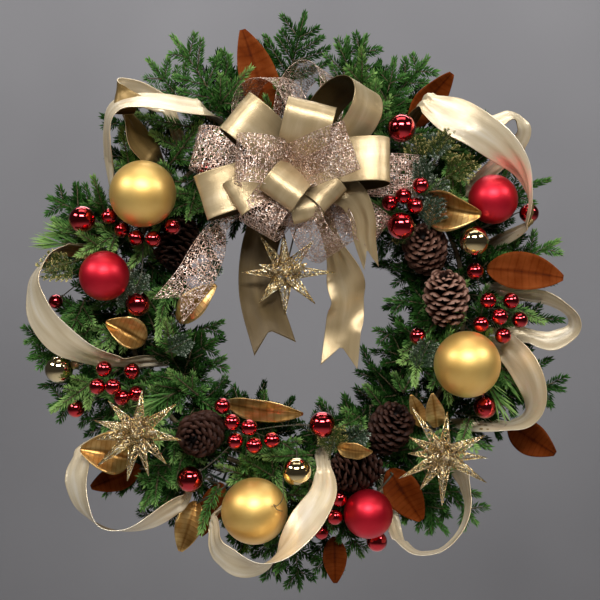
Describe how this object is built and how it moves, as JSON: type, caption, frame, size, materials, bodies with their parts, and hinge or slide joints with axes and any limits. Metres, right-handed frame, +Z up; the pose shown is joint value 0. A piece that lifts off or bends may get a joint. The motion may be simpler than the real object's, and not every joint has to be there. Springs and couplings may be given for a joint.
{
  "type": "christmas wreath",
  "caption": "Round fir wreath on a wire ring, dressed with baubles, berry picks, pine cones, leaves, wire stars, a satin ribbon garland and a large bow; hangs by a loop.",
  "frame": {"origin": "the top of the hanging loop, where it goes over the nail", "axes": "+Z up, +X to the viewer's right, -Y out of the wall towards the viewer; the wall is the plane y = 0"},
  "size_m": [0.6829, 0.2156, 0.6917],
  "materials": {
    "green_wire": "satin green paint",
    "cord": "thin gold cord",
    "matte_gold": "matte metallic gold",
    "matte_red": "matte metallic red",
    "shiny_gold": "mirror-like gold",
    "shiny_red": "glossy metallic red",
    "cone": "dry brown scales with tan tips",
    "gold_wire": "glittered gold wire",
    "russet_leaf": "dry russet leaf",
    "gilded_leaf": "gold-painted dry leaf",
    "gold_satin": "pale gold satin",
    "glitter_mesh": "glittered open mesh",
    "fir": "green needles"
  },
  "bodies": {
    "root": {"wire_frame": "green_wire", "hanging_loop": "cord", "gold_matte_bauble_1": "matte_gold", "gold_matte_bauble_2": "matte_gold", "gold_matte_bauble_3": "matte_gold", "red_matte_bauble_1": "matte_red", "red_matte_bauble_2": "matte_red", "red_matte_bauble_3": "matte_red", "gold_shiny_bauble_1": "shiny_gold", "gold_shiny_bauble_2": "shiny_gold", "gold_shiny_bauble_3": "shiny_gold", "red_berry_pick_1": "shiny_red", "red_berry_pick_2": "shiny_red", "red_berry_pick_3": "shiny_red", "red_berry_pick_4": "shiny_red", "red_berry_pick_5": "shiny_red", "red_berry_pick_6": "shiny_red", "red_berry_pick_7": "shiny_red", "red_berry_pick_8": "shiny_red", "pine_cone_1": "cone", "pine_cone_2": "cone", "pine_cone_3": "cone", "pine_cone_4": "cone", "gold_star_1": "gold_wire", "gold_star_2": "gold_wire", "gold_star_3": "gold_wire", "magnolia_leaf_1": "russet_leaf", "magnolia_leaf_2": "russet_leaf", "magnolia_leaf_3": "russet_leaf", "magnolia_leaf_4": "russet_leaf", "magnolia_leaf_5": "russet_leaf", "magnolia_leaf_6": "russet_leaf", "gold_leaf_1": "gilded_leaf", "gold_leaf_2": "gilded_leaf", "gold_leaf_3": "gilded_leaf", "gold_leaf_4": "gilded_leaf", "gold_leaf_5": "gilded_leaf", "gold_leaf_6": "gilded_leaf", "gold_leaf_7": "gilded_leaf", "ribbon_loop_1": "gold_satin", "ribbon_loop_2": "gold_satin", "ribbon_loop_3": "gold_satin", "ribbon_loop_4": "gold_satin", "ribbon_loop_5": "gold_satin", "ribbon_loop_6": "gold_satin", "ribbon_loop_7": "gold_satin", "ribbon_loop_8": "gold_satin", "bow_mesh_back": "glitter_mesh", "bow_satin_back": "gold_satin", "bow_mesh_front": "glitter_mesh", "bow_satin_front": "gold_satin", "fir_bunch_1": "fir", "fir_bunch_2": "fir", "fir_bunch_3": "fir", "fir_bunch_4": "fir", "fir_bunch_5": "fir", "fir_bunch_6": "fir", "fir_bunch_7": "fir", "fir_bunch_8": "fir", "fir_bunch_9": "fir"}
  },
  "joints": []
}
